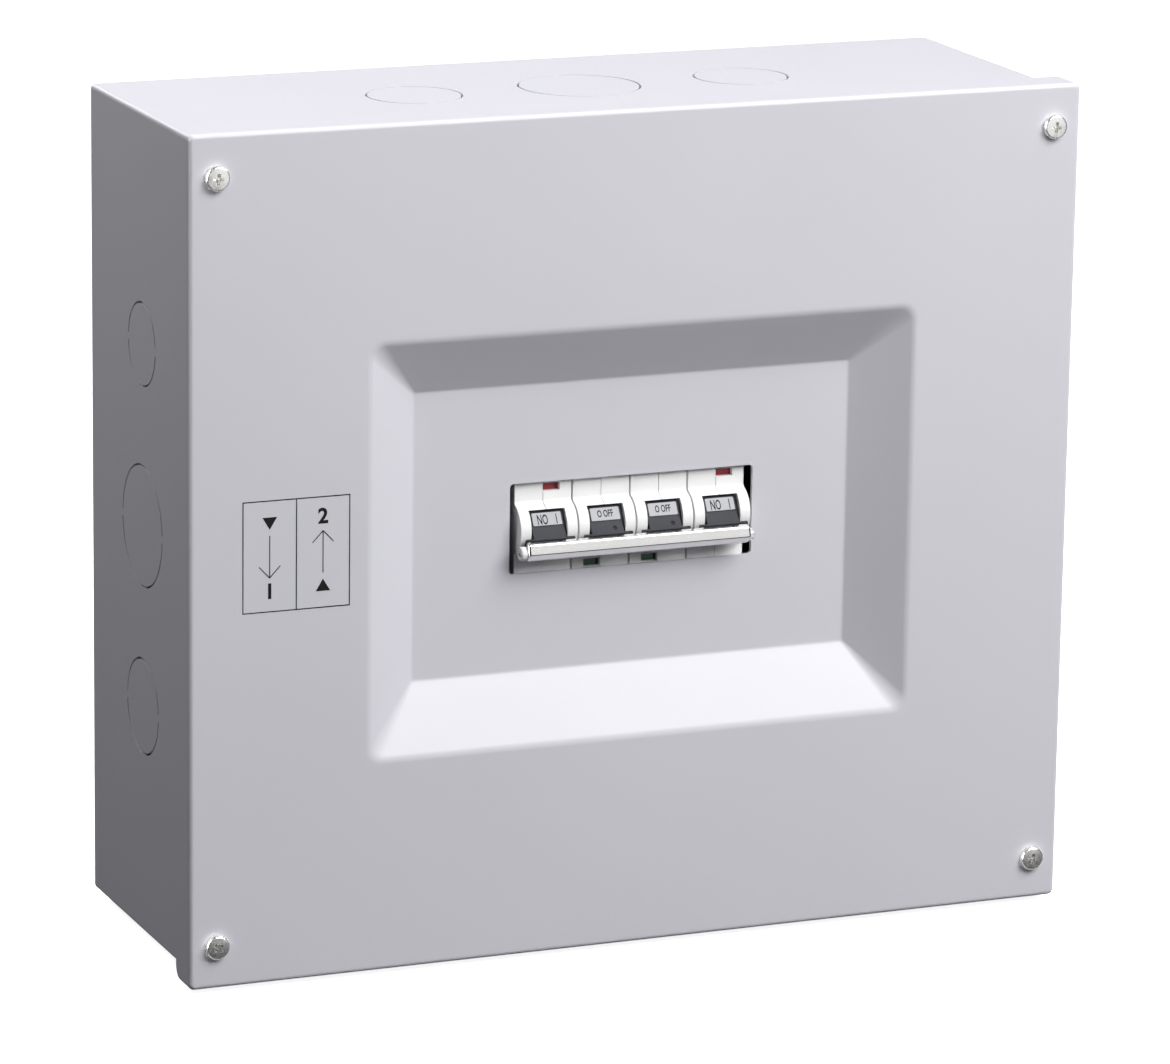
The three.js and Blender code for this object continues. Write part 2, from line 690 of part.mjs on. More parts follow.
function tieBar() {
  const outside = [
    [-9.1, 2.1],
    [-10.6, 2.4],
    [-12, 1.3],
    [-12.8, 0.1],
    [-12.4, -2.2],
    [-11.5, -3.4],
    [-9.1, -3.45],
  ];
  const inside = [
    [-9, 1.65],
    [-10.5, 1.75],
    [-12.1, -0.1],
    [-11.75, -2.2],
    [-11.2, -2.85],
    [-9, -2.85],
  ];
  const end = BAR_HALF_LENGTH;
  const bar = prism("x", outside.reverse(), -end, end);
  const channel = prism("x", inside.reverse(), -end + BAR_SHEET, end - BAR_SHEET);
  return cut(bar, channel, rod("x", 1.05, -40, 40, ...TIE, 12));
}

function tieRod() {
  const shank = 0.8;
  const head = -BAR_HALF_LENGTH - GAP;
  const top = head - 1.9;
  const body = join(
    rod("x", shank, head - 0.5, BAR_HALF_LENGTH + 1.9, ...TIE, 12),
    rod("x", 2.1, head - 1.3, head, ...TIE, 20),
    rod("x", 1.5, top, head - 1.2, ...TIE, 20),
  );
  const [y, z] = TIE;
  return cut(
    body,
    block(top - 1, top + 1, y - 1.3, y + 1.3, z - 0.3, z + 0.3),
    block(top - 1, top + 1, y - 0.3, y + 0.3, z - 1.3, z + 1.3),
  );
}

function tieNut() {
  const from = BAR_HALF_LENGTH + GAP;
  return cut(
    rod("x", 1.9, from, from + 1.2, ...TIE, 6),
    rod("x", 1.05, from - 1, from + 3, ...TIE, 12),
  );
}

place("tie_bar", tieBar(), POLISHED, handle);
place("tie_rod", tieRod(), NICKEL, handle);
place("tie_nut", tieNut(), NICKEL, handle);

export default group;
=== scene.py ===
"""Manual transfer switch: a powder-coated wall box with a pressed cover and a ganged row of four
breaker poles. Metres, +Z up; the cover faces -Y and the origin is the centre of the box's back."""
import bpy
import bmesh
import math
from mathutils import Matrix, Vector


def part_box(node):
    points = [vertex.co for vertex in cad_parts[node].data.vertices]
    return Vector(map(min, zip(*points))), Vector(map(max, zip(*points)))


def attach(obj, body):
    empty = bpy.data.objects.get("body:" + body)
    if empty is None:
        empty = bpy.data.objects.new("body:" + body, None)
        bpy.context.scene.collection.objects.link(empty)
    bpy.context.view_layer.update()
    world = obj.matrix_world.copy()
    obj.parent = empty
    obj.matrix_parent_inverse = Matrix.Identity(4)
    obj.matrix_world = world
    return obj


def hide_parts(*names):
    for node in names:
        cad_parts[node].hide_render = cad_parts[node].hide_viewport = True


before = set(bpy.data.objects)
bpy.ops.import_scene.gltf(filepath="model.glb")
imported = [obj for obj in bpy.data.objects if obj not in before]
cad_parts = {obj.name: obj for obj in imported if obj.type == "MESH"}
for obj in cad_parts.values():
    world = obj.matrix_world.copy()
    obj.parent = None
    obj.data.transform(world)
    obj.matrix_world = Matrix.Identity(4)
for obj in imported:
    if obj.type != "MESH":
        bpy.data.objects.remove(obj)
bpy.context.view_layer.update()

MM = 0.001

# ---- sizes in millimetres, from the frame where it has them ----
COVER_LOW, COVER_HIGH = (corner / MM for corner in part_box("front_cover"))
BOX_LOW, BOX_HIGH = (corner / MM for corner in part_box("enclosure_box"))
FACE = COVER_LOW.y
SHEET = 1.2
FOLD = 1.3  # outside radius of the cover's folded edges
COVER_CORNER = 1.8
BOX_FOLD = 1.5
RECESS_X = 1.4  # the recess and the breaker row sit this far right of the cover's centre line
RECESS = (84.8, 61.2)  # half width and half height of the recess at its rim
RECESS_FLOOR = (68.3, 42.7)
FLOOR_Z = 1.3  # the floor sits a little high in the recess
RECESS_DEPTH = 10.0
RIM_RADIUS = 4.2  # pressed bends: soft at the rim, tighter at the floor
FLOOR_RADIUS = 1.8
ROW_Z = 0.9
CUTOUT = (38.25, 13.5)
CUTOUT_CORNER = 1.2
FLANGE_CORNER = 5.0

POLES = (1, 2, 3, 4)
TURNED_POLES = (1, 4)  # these stand on their heads
PITCH = 18.2
HALF_POLE = 8.95
POLE_FACE = -87.3
PIVOT = Vector((RECESS_X, POLE_FACE + 2.0, ROW_Z))
ARCH = 7.6
DRUM = 6.3
TILT = 28.0  # degrees: the levers point this far below level
LEVER_FRAME = Matrix.Translation(PIVOT) @ Matrix.Rotation(math.radians(TILT), 4, "X")
TIE = (-10.2, -1.2)  # (y, z) of the tie rod about the pivot, before the tilt
BAR_HALF = 35.0
WINDOW = 5.6
WINDOW_HALF_HEIGHT = 5.9

# one pole's case and inside, from the pivot: y runs backwards into the box
NOSE = 22.5  # half height of the nose
CASE_HALF = 40.0
CASE_WALL = 1.3
SHOULDER = 12.0  # back to the terminal shoulders
SEAT = 56.0  # back to the rail's seat
RAIL_HALF = 18.0  # half height of that seat
ARM_PIVOT = (20.0, -4.0)
MOUTH_Y = 32.0  # middle of the wire mouths
PIN_BORE = 1.3
NOTCH = ((-5.2, -13.0), (1.0, -10.7))  # (x, z) corners of the indicator's small window
FLAG_SPLIT_UPRIGHT = 13.35  # where a flag changes colour, below the row's middle
FLAG_SPLIT_TURNED = 10.15  # and above it, on the poles that stand on their heads
ROD_BORE = 1.0

SIDE_KNOCKOUTS = ((54.5, 25.0), (0.7, 36.5), (-53.5, 29.0))
TOP_KNOCKOUTS = ((-51.6, 28.5), (0.0, 36.5), (51.6, 28.5))
KNOCKOUT_Y = -47.52
KNOCKOUT_SLOT = 0.62  # width of the cut round a knockout
KNOCKOUT_TAB = 2.2
HANGING_HOLES = (105.0, 90.0)  # of the back, each way from its middle
HANGING_HOLE_RADIUS = 3.2

SCREW_X = COVER_HIGH.x - 8.3
SCREW_Z = COVER_HIGH.z - 12.5
SCREW_HOLE = 2.3  # radius of the cover's clearance holes

LABEL_ANGLE = 59.0  # degrees round the drum from the lever to each label plate's middle
LABEL_FLAT = 6.0  # from the pivot out to a label's flat
PLATE_HALF = (4.5, 1.95)
PLATE_THICKNESS = 0.25
PRINT_THICKNESS = 0.03

RULE = 0.32  # width of the panel label's ruled lines
PEN = 0.28  # width of its arrows' lines


# ---- node trees ----
def add(tree, kind, settings=None, **links):
    """Adds a node, sets its properties and values, and links its inputs to (node, output)."""
    made = tree.nodes.new(kind)
    for name, value in (settings or {}).items():
        if isinstance(name, str) and hasattr(made, name):
            setattr(made, name, value)
        else:
            made.inputs[name].default_value = value
    for name, (source, output) in links.items():
        socket = name.rstrip("_").replace("_", " ")
        tree.links.new(source.outputs[output], made.inputs[socket])
    return made


def linear(hex_colour):
    """sRGB hex to linear RGBA."""
    parts = [int(hex_colour[i:i + 2], 16) / 255 for i in (0, 2, 4)]
    return [c / 12.92 if c <= 0.04045 else ((c + 0.055) / 1.055) ** 2.4 for c in parts] + [1.0]


def shader(name, colour, roughness, metallic=0.0, **sockets):
    """A material with a Principled shader, and Object coordinates in metres to build on."""
    mat = bpy.data.materials.new(name)
    mat.use_nodes = True
    tree = mat.node_tree
    bsdf = tree.nodes["Principled BSDF"]
    bsdf.inputs["Base Color"].default_value = linear(colour)
    bsdf.inputs["Roughness"].default_value = roughness
    bsdf.inputs["Metallic"].default_value = metallic
    for socket, value in sockets.items():
        bsdf.inputs[socket.replace("_", " ")].default_value = value
    place = add(tree, "ShaderNodeTexCoord")
    return mat, tree, bsdf, place


def noise(tree, place, period_mm, detail=2.0, stretch=(1, 1, 1)):
    """Noise with features about period_mm across, drawn out along an axis of small stretch."""
    scaled = add(tree, "ShaderNodeMapping", {"Scale": stretch}, Vector=(place, "Object"))
    return add(
        tree, "ShaderNodeTexNoise",
        {"Scale": 1000.0 / period_mm, "Detail": detail, "Roughness": 0.55},
        Vector=(scaled, "Vector"),
    )


def remap(tree, source, output, low, high):
    """Spreads a noise, which seldom leaves 0.3 to 0.7, over a range of its own."""
    return add(
        tree, "ShaderNodeMapRange",
        {"From Min": 0.3, "From Max": 0.7, "To Min": low, "To Max": high},
        Value=(source, output),
    )


def bump(tree, bsdf, source, output, height_mm, strength):
    """Relief by a pattern, on top of the real shape."""
    made = add(
        tree, "ShaderNodeBump", {"Strength": strength, "Distance": height_mm * MM},
        Height=(source, output),
    )
    tree.links.new(made.outputs["Normal"], bsdf.inputs["Normal"])


def tint(tree, bsdf, source, output, dark, light):
    """Base colour between two near colours, by a pattern."""
    mixed = add(tree, "ShaderNodeMix", {"data_type": "RGBA"})
    colours = [s for s in mixed.inputs if s.type == "RGBA"]
    colours[0].default_value = linear(dark)
    colours[1].default_value = linear(light)
    tree.links.new(source.outputs[output], mixed.inputs["Factor"])
    result = [s for s in mixed.outputs if s.type == "RGBA"][0]
    tree.links.new(result, bsdf.inputs["Base Color"])


# ---- materials ----
def powder_coat():
    """Polyester powder coat, baked on steel: satin, with the faint pebble of a sprayed powder."""
    mat, tree, bsdf, place = shader("powder_coat", "d0d0d7", 0.4, IOR=1.5, Specular_IOR_Level=0.45)
    pebble = noise(tree, place, 1.1, 3.0)
    bump(tree, bsdf, pebble, "Fac", 0.012, 0.5)
    cloud = noise(tree, place, 60.0, 1.0)
    tint(tree, bsdf, cloud, "Fac", "cfced5", "d3d2d9")
    gloss = remap(tree, pebble, "Fac", 0.37, 0.44)
    tree.links.new(gloss.outputs["Result"], bsdf.inputs["Roughness"])
    return mat


def bright_nickel():
    """Bright nickel plate on a headed screw: a mirror that is a little soft from tumbling."""
    mat, tree, bsdf, place = shader("bright_nickel", "f0efec", 0.26, 1.0)
    scuffs = noise(tree, place, 0.5, 4.0)
    gloss = remap(tree, scuffs, "Fac", 0.2, 0.34)
    tree.links.new(gloss.outputs["Result"], bsdf.inputs["Roughness"])
    bump(tree, bsdf, scuffs, "Fac", 0.002, 0.4)
    return mat


def polished_strip():
    """Polished steel strip: drawn through rolls, so its faint lines run along its length."""
    mat, tree, bsdf, place = shader("polished_strip", "dad9d8", 0.1, 1.0)
    lines = noise(tree, place, 0.4, 2.0, stretch=(0.02, 1, 1))
    gloss = remap(tree, lines, "Fac", 0.07, 0.14)
    tree.links.new(gloss.outputs["Result"], bsdf.inputs["Roughness"])
    bump(tree, bsdf, lines, "Fac", 0.001, 0.3)
    return mat


def moulded_plastic(name, dark, light, roughness, grain_mm=0.35, depth_mm=0.006, shine=0.5):
    """Moulded thermoset with the fine spark-eroded grain of its tool."""
    mat, tree, bsdf, place = shader(name, light, roughness, IOR=1.55, Specular_IOR_Level=shine)
    grain = noise(tree, place, grain_mm, 2.0)
    bump(tree, bsdf, grain, "Fac", depth_mm, 0.6)
    cloud = noise(tree, place, 9.0, 1.0)
    tint(tree, bsdf, cloud, "Fac", dark, light)
    gloss = remap(tree, grain, "Fac", roughness - 0.05, roughness + 0.06)
    tree.links.new(gloss.outputs["Result"], bsdf.inputs["Roughness"])
    return mat


def two_colour_flag(name, split_mm, red_above):
    """Glossy indicator tongue, red on one side of a height and green on the other."""
    mat, tree, bsdf, place = shader(name, "a02c38", 0.35, IOR=1.5)
    axes = add(tree, "ShaderNodeSeparateXYZ", None, Vector=(place, "Object"))
    side = add(
        tree, "ShaderNodeMath", {"operation": "GREATER_THAN", 1: split_mm * MM}, Value=(axes, "Z"),
    )
    below, above = ("1f4a2c", "a5303b") if red_above else ("a5303b", "1f4a2c")
    tint(tree, bsdf, side, "Value", below, above)
    grain = noise(tree, place, 0.4, 2.0)
    bump(tree, bsdf, grain, "Fac", 0.004, 0.5)
    return mat


def worked_metal(name, dark, light, roughness, stretch):
    """Rolled or drawn metal: lines along the way it was worked, and a cloudy tarnish."""
    mat, tree, bsdf, place = shader(name, light, roughness, 1.0)
    lines = noise(tree, place, 0.5, 3.0, stretch)
    gloss = remap(tree, lines, "Fac", roughness - 0.08, roughness + 0.1)
    tree.links.new(gloss.outputs["Result"], bsdf.inputs["Roughness"])
    cloud = noise(tree, place, 12.0, 2.0)
    tint(tree, bsdf, cloud, "Fac", dark, light)
    bump(tree, bsdf, lines, "Fac", 0.005, 0.4)
    return mat


def printing_ink():
    """Screen-printed ink: near black, slightly glossy, a little uneven."""
    mat, tree, bsdf, place = shader("printing_ink", "101013", 0.6, IOR=1.5, Specular_IOR_Level=0.2)
    cloud = noise(tree, place, 1.5, 2.0)
    tint(tree, bsdf, cloud, "Fac", "0d0d10", "141417")
    return mat


def studio_floor():
    """Seamless white paper that glows a little, so that the object's shadow stays faint."""
    mat, tree, bsdf, place = shader("studio_floor", "f4f4f6", 0.9)
    cloud = noise(tree, place, 400.0, 1.0)
    tint(tree, bsdf, cloud, "Fac", "f3f3f5", "f5f5f7")
    bsdf.inputs["Emission Color"].default_value = linear("ffffff")
    bsdf.inputs["Emission Strength"].default_value = 0.85
    return mat


COAT = powder_coat()
NICKEL = bright_nickel()
STRIP = polished_strip()
CASE = moulded_plastic("white_case", "f0f0ef", "f4f4f3", 0.42)
LEVER = moulded_plastic("charcoal_lever", "303137", "393a40", 0.55, shine=0.2)
PLATE = moulded_plastic("label_plate", "b2b3b6", "babbbe", 0.55, 0.25, 0.002, shine=0.15)
INK = printing_ink()
ZINC = worked_metal("zinc_plate", "b3b7ba", "c2c5c7", 0.4, (0.1, 1, 1))
BRASS = worked_metal("drawn_brass", "b8924a", "cda75a", 0.35, (0.05, 1, 1))
COPPER = worked_metal("rolled_copper", "b06c45", "c07c52", 0.35, (1, 1, 0.1))
INSULATOR = moulded_plastic("dark_red_insulator", "7c2021", "8a2627", 0.4)
CLIP = moulded_plastic("black_clip", "1d1e20", "26272a", 0.45)


# ---- meshes ----
def to_object(name, bm, material=None):
    """A new object at the origin from a bmesh in millimetres."""
    bmesh.ops.recalc_face_normals(bm, faces=bm.faces)
    bmesh.ops.scale(bm, vec=(MM, MM, MM), verts=bm.verts)
    mesh = bpy.data.meshes.new(name)
    bm.to_mesh(mesh)
    bm.free()
    made = bpy.data.objects.new(name, mesh)
    bpy.context.scene.collection.objects.link(made)
    if material is not None:
        mesh.materials.append(material)
    return made


def apply_modifiers(piece):
    """Turns the object with its modifiers into a plain mesh."""
    graph = bpy.context.evaluated_depsgraph_get()
    mesh = bpy.data.meshes.new_from_object(piece.evaluated_get(graph))
    piece.modifiers.clear()
    old = piece.data
    piece.data = mesh
    bpy.data.meshes.remove(old)


def bevel(piece, width_mm, segments, angle):
    """Rounds every edge sharper than an angle, in degrees."""
    made = piece.modifiers.new("edge", "BEVEL")
    made.width = width_mm * MM
    made.segments = segments
    made.limit_method = "ANGLE"
    made.angle_limit = math.radians(angle)
    apply_modifiers(piece)


def even_shading(piece, angle=35.0):
    """Smooth shading whose normals follow the large faces, with edges over an angle kept sharp."""
    for face in piece.data.polygons:
        face.use_smooth = True
    piece.data.set_sharp_from_angle(angle=math.radians(angle))
    weighted = piece.modifiers.new("even", "WEIGHTED_NORMAL")
    weighted.keep_sharp = True
    weighted.weight = 90


def boolean(piece, cutter, operation="DIFFERENCE"):
    """Cuts or joins two closed meshes, and stops if nothing is left of the piece."""
    made = piece.modifiers.new("cut", "BOOLEAN")
    made.operation = operation
    made.solver = "MANIFOLD"
    made.object = cutter
    apply_modifiers(piece)
    if not piece.data.polygons:
        raise RuntimeError("%s was lost when cut by %s" % (piece.name, cutter.name))
    bpy.data.objects.remove(cutter)


def loop_outline(half_x, half_z, radius, centre_z=0.0, steps=8):
    """Points of a rounded rectangle in the (x, z) plane, anticlockwise seen from the front."""
    points = []
    for sx, sz, quarter in ((1, 1, 0), (-1, 1, 1), (-1, -1, 2), (1, -1, 3)):
        for i in range(steps + 1):
            t = (quarter + i / steps) * math.pi / 2
            x = sx * (half_x - radius) + radius * math.cos(t)
            z = sz * (half_z - radius) + radius * math.sin(t)
            points.append((x, z + centre_z))
    return points


def skin(bm, loops, close_first=False, close_last=False):
    """Joins a list of loops, each a list of points, with quads."""
    rows = [[bm.verts.new(p) for p in loop] for loop in loops]
    count = len(rows[0])
    for a, b in zip(rows, rows[1:]):
        for i in range(count):
            j = (i + 1) % count
            bm.faces.new((a[i], a[j], b[j], b[i]))
    if close_first:
        bm.faces.new(rows[0])
    if close_last:
        bm.faces.new(rows[-1])


def prism(bm, outline, low, high):
    """An outline in the (y, z) plane carried along x between two planes."""
    skin(bm, [[(x, y, z) for y, z in outline] for x in (low, high)], True, True)


def box(bm, low, high):
    """A block between two corners."""
    corners = [(low[1], low[2]), (high[1], low[2]), (high[1], high[2]), (low[1], high[2])]
    prism(bm, corners, low[0], high[0])


def arc(centre_a, centre_b, radius, start, end, steps):
    """Points along an arc, in degrees."""
    points = []
    for i in range(steps + 1):
        t = math.radians(start + (end - start) * i / steps)
        points.append((centre_a + radius * math.cos(t), centre_b + radius * math.sin(t)))
    return points


def bore(piece, centre, radius, reach, with_tilt=False):
    """Cuts a round hole along x about a (y, z) centre."""
    bm = bmesh.new()
    prism(bm, arc(*centre, radius, 0, 345, 23), -reach, reach)
    if with_tilt:
        tilted(bm)
    boolean(piece, to_object("bore", bm))


def spin_profile(bm, profile, sides=48):
    """A closed turning about the y axis, from a profile of (radius, y) points."""
    rows = [[(r * math.cos(t), y, r * math.sin(t))
             for t in (2 * math.pi * i / sides for i in range(sides))]
            for r, y in profile]
    skin(bm, rows, True, True)


# ---- cover and box ----
def sheet_metal(name, bm):
    """A powder-coated piece from its outer skin, thickened inwards."""
    piece = to_object(name, bm, COAT)
    wall = piece.modifiers.new("sheet", "SOLIDIFY")
    wall.thickness = SHEET * MM
    wall.offset = -1.0
    wall.use_even_offset = True
    apply_modifiers(piece)
    return piece


def bend(radius, angle, steps):
    """Offsets (along, down) through a bend that leaves a flat and turns by angle degrees."""
    return [(radius * math.sin(math.radians(angle * i / steps)),
             radius * (1 - math.cos(math.radians(angle * i / steps)))) for i in range(steps + 1)]


def cover_loops():
    """From the breaker cut-out, up the recess, over the face and round the folded edge."""
    slopes = (RECESS[0] - RECESS_FLOOR[0], RECESS[1] - RECESS_FLOOR[1])
    angle = math.degrees(math.atan2(RECESS_DEPTH, slopes[0]))
    floor = FACE + RECESS_DEPTH
    loops = []

    def recess_loop(share, out, y):
        """A loop at a share of the way from floor to rim, moved outwards by a little more."""
        inner = min(max(share, 0.0), 1.0)
        radius = 0.8 + 3.6 * inner + max(out, 0.0) * (1 if share >= 1 else 0)
        half_x = RECESS_FLOOR[0] + slopes[0] * share + out
        half_z = RECESS_FLOOR[1] + slopes[1] * share + out
        outline = loop_outline(half_x, half_z, radius, FLOOR_Z * (1 - inner))
        loops.append([(x + RECESS_X, y, z) for x, z in outline])

    cutout = loop_outline(*CUTOUT, CUTOUT_CORNER, FLOOR_Z)
    loops.append([(x + RECESS_X, floor, z) for x, z in cutout])
    start = FLOOR_RADIUS * math.tan(math.radians(angle / 2)) / slopes[0]
    recess_loop(-start, -0.6, floor)
    for along, rise in bend(FLOOR_RADIUS, angle, 5):
        recess_loop(along / slopes[0] - start, 0.0, floor - rise)
    end = RIM_RADIUS * math.tan(math.radians(angle / 2)) / slopes[0]
    for along, fall in reversed(bend(RIM_RADIUS, angle, 8)):
        recess_loop(1 + end - along / slopes[0], 0.0, FACE + fall)
    recess_loop(1 + end, 0.8, FACE)
    half = (COVER_HIGH.x - FOLD, COVER_HIGH.z - FOLD)
    for inset in (0.8, 0.0):
        outline = loop_outline(half[0] - inset, half[1] - inset, 0.6)
        loops.append([(x, FACE, z) for x, z in outline])
    for along, down in bend(FOLD, 90.0, 6)[1:]:
        radius = 0.6 + (COVER_CORNER - 0.6) * along / FOLD
        outline = loop_outline(half[0] + along, half[1] + along, radius)
        loops.append([(x, FACE + down, z) for x, z in outline])
    side = loop_outline(COVER_HIGH.x, COVER_HIGH.z, COVER_CORNER)
    loops.append([(x, FACE + FOLD + 0.8, z) for x, z in side])
    loops.append([(x, COVER_HIGH.y, z) for x, z in side])
    return loops


def flange_corner_cutter():
    """Takes the lower rear corner off each side flange, as a quarter round."""
    bm = bmesh.new()
    rear, foot, r = COVER_HIGH.y, COVER_LOW.z, FLANGE_CORNER
    outline = arc(rear - r, foot + r, r, 0, -90, 12)
    outline += [(rear - r, foot - 2), (rear + 2, foot - 2), (rear + 2, foot + r)]
    for side in (-1, 1):
        low, high = sorted((side * (COVER_HIGH.x - r), side * (COVER_HIGH.x + 2)))
        prism(bm, outline, low, high)
    return to_object("flange_corner_cutter", bm)


def screw_hole_cutter():
    """The four clearance holes of the cover."""
    bm = bmesh.new()
    for side in (-1, 1):
        for high in (-1, 1):
            ring = arc(side * SCREW_X, high * SCREW_Z, SCREW_HOLE, 0, 345, 23)
            skin(bm, [[(x, y, z) for x, z in ring] for y in (FACE - 1, FACE + 3)], True, True)
    return to_object("screw_hole_cutter", bm)


def make_cover():
    """The pressed front with its recess, cut-out and folded edge."""
    bm = bmesh.new()
    skin(bm, cover_loops())
    piece = sheet_metal("pressed_cover", bm)
    boolean(piece, flange_corner_cutter())
    boolean(piece, screw_hole_cutter())
    even_shading(piece)
    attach(piece, "enclosure")
    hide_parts("front_cover")


def box_loops():
    """The folded box from its open mouth to its back."""
    half = (BOX_HIGH.x, BOX_HIGH.z)
    loops = []
    rows = [(0.0, BOX_LOW.y), (0.0, -BOX_FOLD - 0.8)]
    rows += [(BOX_FOLD - along, -down) for along, down in reversed(bend(BOX_FOLD, 90.0, 8))]
    rows += [(BOX_FOLD + 0.8, 0.0)]
    for inset, y in rows:
        radius = max(BOX_FOLD - inset, 0.05) if inset <= BOX_FOLD else 0.05
        outline = loop_outline(half[0] - inset, half[1] - inset, radius)
        loops.append([(x, y, z) for x, z in outline])
    return loops


def half_ring(diameter, half, steps=40):
    """Outline of one of a knockout's two slots; its tabs lie on the first axis."""
    tab = math.degrees(KNOCKOUT_TAB / diameter)
    start = 180 * half + tab
    end = 180 * half + 180 - tab
    outer = arc(0, 0, diameter / 2, start, end, steps)
    inner = arc(0, 0, diameter / 2 - KNOCKOUT_SLOT, end, start, steps)
    return outer + inner


def knockout_cutter():
    """Every knockout's slots, and the four hanging holes of the back."""
    bm = bmesh.new()
    reach = 4.0
    for side in (-1, 1):
        for height, diameter in SIDE_KNOCKOUTS:
            for half in (0, 1):
                outline = half_ring(diameter, half)
                wall = side * BOX_HIGH.x
                skin(bm, [[(wall + d, KNOCKOUT_Y + a, height + b) for a, b in outline]
                          for d in (-reach, reach)], True, True)
        for across, diameter in TOP_KNOCKOUTS:
            for half in (0, 1):
                outline = half_ring(diameter, half)
                wall = side * BOX_HIGH.z
                skin(bm, [[(across + b, KNOCKOUT_Y + a, wall + d) for a, b in outline]
                          for d in (-reach, reach)], True, True)
        for high in (-1, 1):
            spot = (side * HANGING_HOLES[0], high * HANGING_HOLES[1])
            ring = arc(*spot, HANGING_HOLE_RADIUS, 0, 350, 35)
            skin(bm, [[(x, y, z) for x, z in ring] for y in (-reach, reach)], True, True)
    return to_object("knockout_cutter", bm)


def make_box():
    """The folded box with its knockouts and hanging holes."""
    bm = bmesh.new()
    skin(bm, box_loops(), close_last=True)
    piece = sheet_metal("folded_box", bm)
    boolean(piece, knockout_cutter())
    even_shading(piece)
    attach(piece, "enclosure")
    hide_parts("enclosure_box")


# ---- Geometry Nodes ----
def new_tree(name, inputs):
    """A modifier tree with a geometry in and out, and named inputs."""
    tree = bpy.data.node_groups.new(name, "GeometryNodeTree")
    tree.interface.new_socket("Geometry", in_out="INPUT", socket_type="NodeSocketGeometry")
    for label, kind in inputs:
        tree.interface.new_socket(label, in_out="INPUT", socket_type="NodeSocket" + kind)
    tree.interface.new_socket("Geometry", in_out="OUTPUT", socket_type="NodeSocketGeometry")
    return tree, add(tree, "NodeGroupInput"), add(tree, "NodeGroupOutput")


def finish_tree(tree, start, end, source, output):
    """The last steps of every tree: real meshes, then the finish."""
    real = add(tree, "GeometryNodeRealizeInstances", None, Geometry=(source, output))
    done = add(
        tree, "GeometryNodeSetMaterial", None,
        Geometry=(real, "Geometry"), Material=(start, "Finish"),
    )
    tree.links.new(done.outputs["Geometry"], end.inputs["Geometry"])


def run_tree(piece, tree, values):
    """Sets the named inputs, and turns the result into a plain mesh."""
    made = piece.modifiers.new(tree.name, "NODES")
    made.node_group = tree
    for item in tree.interface.items_tree:
        if item.in_out == "INPUT" and item.name in values:
            made[item.identifier] = values[item.name]
    apply_modifiers(piece)


def corner_screws_tree():
    """A screw at each corner of an upright rectangle; the lower left one is turned further."""
    tree, start, end = new_tree("screws_at_corners", [
        ("Width", "Float"), ("Height", "Float"), ("Centre", "Vector"),
        ("Turn", "Float"), ("First Turn", "Float"), ("Finish", "Material"),
    ])
    grid = add(
        tree, "GeometryNodeMeshGrid", {"Vertices X": 2, "Vertices Y": 2},
        Size_X=(start, "Width"), Size_Y=(start, "Height"),
    )
    upright = add(
        tree, "GeometryNodeTransform", {"Rotation": (math.pi / 2, 0, 0)},
        Geometry=(grid, "Mesh"), Translation=(start, "Centre"),
    )
    index = add(tree, "GeometryNodeInputIndex")
    first = add(
        tree, "FunctionNodeCompare", {"data_type": "INT", "operation": "EQUAL"},
        A=(index, "Index"),
    )
    turn = add(
        tree, "GeometryNodeSwitch", {"input_type": "FLOAT"},
        Switch=(first, "Result"), False_=(start, "Turn"), True_=(start, "First Turn"),
    )
    about = add(tree, "ShaderNodeCombineXYZ", None, Y=(turn, "Output"))
    copies = add(
        tree, "GeometryNodeInstanceOnPoints", None,
        Points=(upright, "Geometry"), Instance=(start, "Geometry"), Rotation=(about, "Vector"),
    )
    finish_tree(tree, start, end, copies, "Instances")
    return tree


